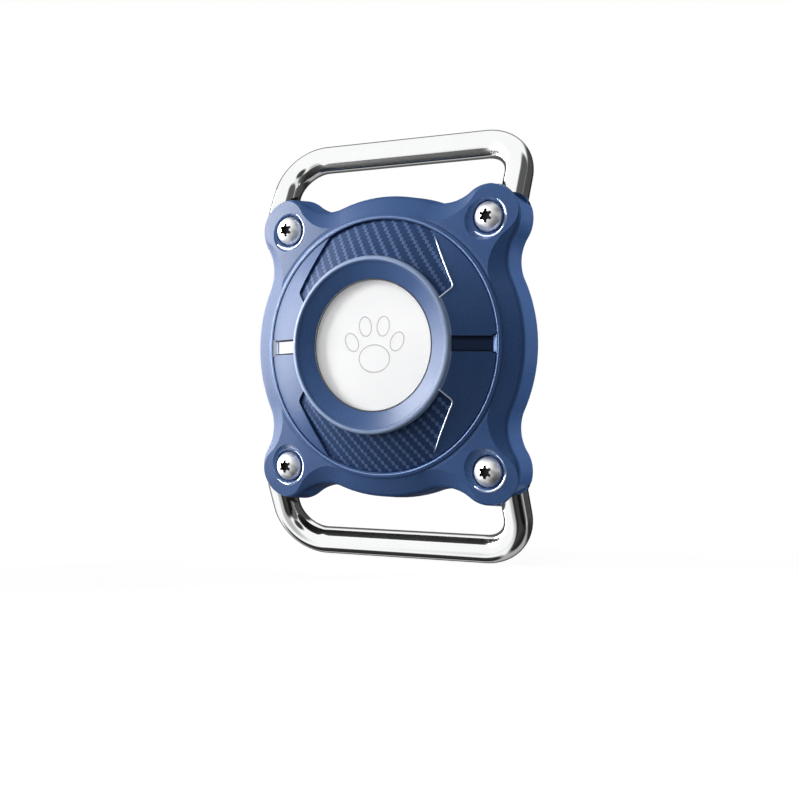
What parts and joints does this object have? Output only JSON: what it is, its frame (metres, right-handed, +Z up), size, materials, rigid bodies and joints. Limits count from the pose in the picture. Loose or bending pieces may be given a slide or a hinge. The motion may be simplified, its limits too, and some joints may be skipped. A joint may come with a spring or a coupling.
{
  "type": "tracker tag holder",
  "caption": "Screwed case for a round tracker tag, with a window, textured inlays and two chromed wire loops that a strap threads through.",
  "frame": {"origin": "centre of the bounding box", "axes": "-Y out of the window, +Z up towards the upper loop, +X to the right as seen from the front"},
  "size_m": [0.0518, 0.0158, 0.0734],
  "materials": {
    "black_rubber": "matt",
    "board_green": "solder mask",
    "brass": "knurled",
    "case_plastic": "fine matt, anodised look",
    "cell_steel": "satin",
    "chromed_wire": "polished",
    "clear_window": "clear, polished",
    "copper": "enamelled wire",
    "foam": "closed-cell foam",
    "gloss_strip": "gloss",
    "grey_rubber": "matt",
    "magnet": "plated",
    "polished_steel": "polished",
    "screw_steel": "polished",
    "tag_frame_white": "satin",
    "tag_white": "gloss",
    "textured_panel": "twill texture, satin"
  },
  "bodies": {
    "case_back": {"back_cover": "case_plastic", "main_seal": "black_rubber", "thread_inserts": "brass", "upper_loop": "chromed_wire", "lower_loop": "chromed_wire", "tag_cushion": "foam"},
    "case_front": {"front_cover": "case_plastic", "window_lens": "clear_window", "lens_gasket": "grey_rubber", "upper_grip_panel": "textured_panel", "lower_grip_panel": "textured_panel", "left_accent_strip": "gloss_strip", "right_accent_strip": "gloss_strip", "screw_seals": "black_rubber"},
    "tag": {"tag_shell": "tag_white", "tag_inner_frame": "tag_frame_white", "tag_circuit_board": "board_green", "tag_speaker_coil": "copper", "tag_speaker_magnet": "magnet", "tag_contacts": "brass", "coin_cell": "cell_steel"},
    "battery_lid": {"tag_battery_cover": "polished_steel"},
    "screw_upper_left_body": {"screw_upper_left": "screw_steel"},
    "screw_upper_right_body": {"screw_upper_right": "screw_steel"},
    "screw_lower_left_body": {"screw_lower_left": "screw_steel"},
    "screw_lower_right_body": {"screw_lower_right": "screw_steel"}
  },
  "joints": [
    {"name": "cover_lift", "type": "slide", "parent": "case_back", "child": "case_front", "axis": [0, -1, 0], "range_m": [0, 0.03]},
    {"name": "tag_lift", "type": "slide", "parent": "case_back", "child": "tag", "axis": [0, -1, 0], "range_m": [0, 0.015]},
    {"name": "screw_upper_left_turn", "type": "hinge", "parent": "case_front", "child": "screw_upper_left_body", "pos_m": [-0.01915, 0, 0.0208], "axis": [0, -1, 0], "continuous": true},
    {"name": "screw_upper_right_turn", "type": "hinge", "parent": "case_front", "child": "screw_upper_right_body", "pos_m": [0.01915, 0, 0.0208], "axis": [0, -1, 0], "continuous": true},
    {"name": "screw_lower_left_turn", "type": "hinge", "parent": "case_front", "child": "screw_lower_left_body", "pos_m": [-0.01915, 0, -0.0208], "axis": [0, -1, 0], "continuous": true},
    {"name": "screw_lower_right_turn", "type": "hinge", "parent": "case_front", "child": "screw_lower_right_body", "pos_m": [0.01915, 0, -0.0208], "axis": [0, -1, 0], "continuous": true},
    {"name": "battery_cover_turn", "type": "hinge", "parent": "tag", "child": "battery_lid", "pos_m": [0, 0, 0], "axis": [0, 1, 0], "range_deg": [0, 20]}
  ],
  "couplings": [
    {"joint": "tag_lift", "follows": "cover_lift", "ratio": 0.5}
  ]
}
